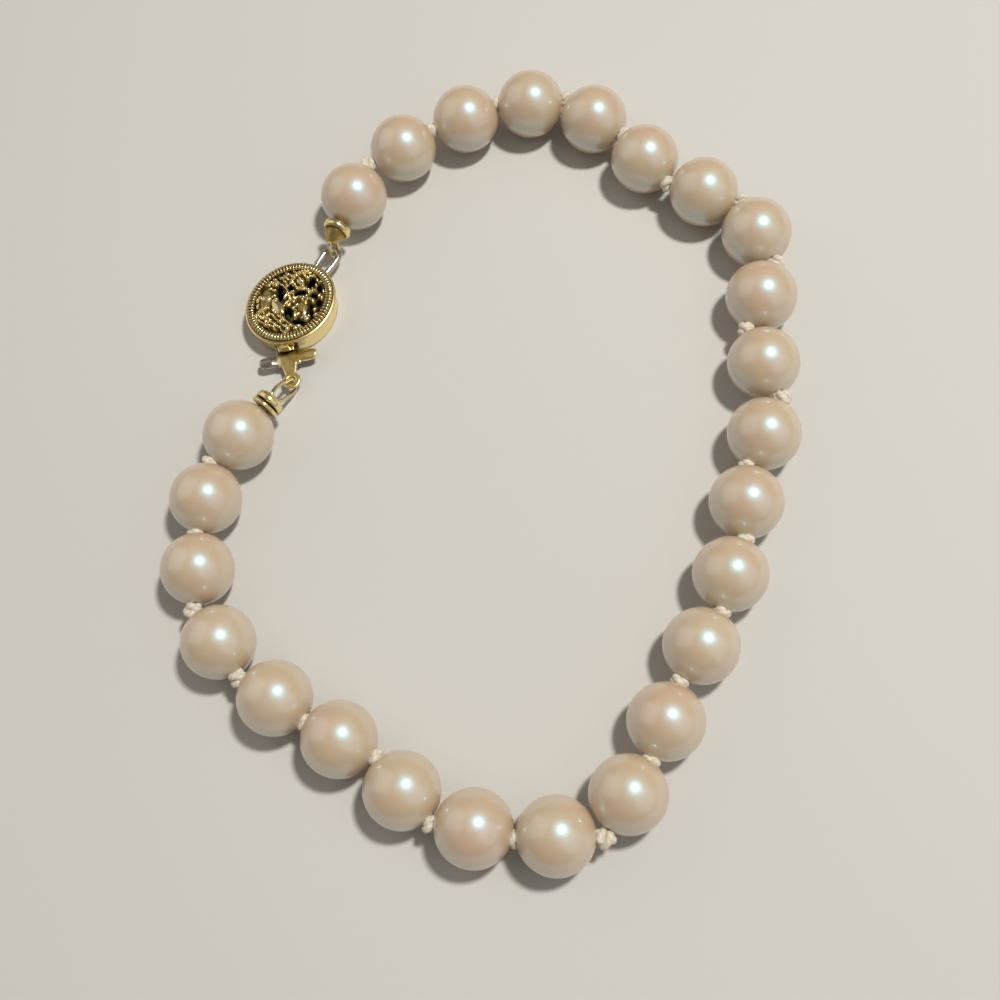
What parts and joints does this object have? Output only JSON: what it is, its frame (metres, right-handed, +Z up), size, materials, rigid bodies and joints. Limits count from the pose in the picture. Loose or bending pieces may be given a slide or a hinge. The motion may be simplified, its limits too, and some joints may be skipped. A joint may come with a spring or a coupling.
{
  "type": "pearl bracelet",
  "caption": "Closed string of round cream pearls knotted on silk, joined by an oval filigree box clasp, lying flat in a loose loop.",
  "frame": {"origin": "centre of the bounding box's bottom face, on the surface that the bracelet lies on", "axes": "+Z up from the surface, +Y along the longer way of the loop, from the side near the viewer to the far side, +X to the viewer's right, with the clasp on the -X side"},
  "size_m": [0.0532, 0.0714, 0.006],
  "materials": {
    "pearl": "lustrous cream nacre",
    "silk": "twisted ivory silk",
    "gold": "antique gold plate with dark recesses"
  },
  "bodies": {
    "root": {"pearl_01": "pearl", "pearl_02": "pearl", "pearl_03": "pearl", "pearl_04": "pearl", "pearl_05": "pearl", "pearl_06": "pearl", "pearl_07": "pearl", "pearl_08": "pearl", "pearl_09": "pearl", "pearl_10": "pearl", "pearl_11": "pearl", "pearl_12": "pearl", "pearl_13": "pearl", "pearl_14": "pearl", "pearl_15": "pearl", "pearl_16": "pearl", "pearl_17": "pearl", "pearl_18": "pearl", "pearl_19": "pearl", "pearl_20": "pearl", "pearl_21": "pearl", "pearl_22": "pearl", "pearl_23": "pearl", "pearl_24": "pearl", "pearl_25": "pearl", "silk_thread": "silk", "bead_tip_upper": "gold", "bead_tip_lower": "gold", "clasp_box": "gold", "clasp_tongue": "gold"}
  },
  "joints": []
}
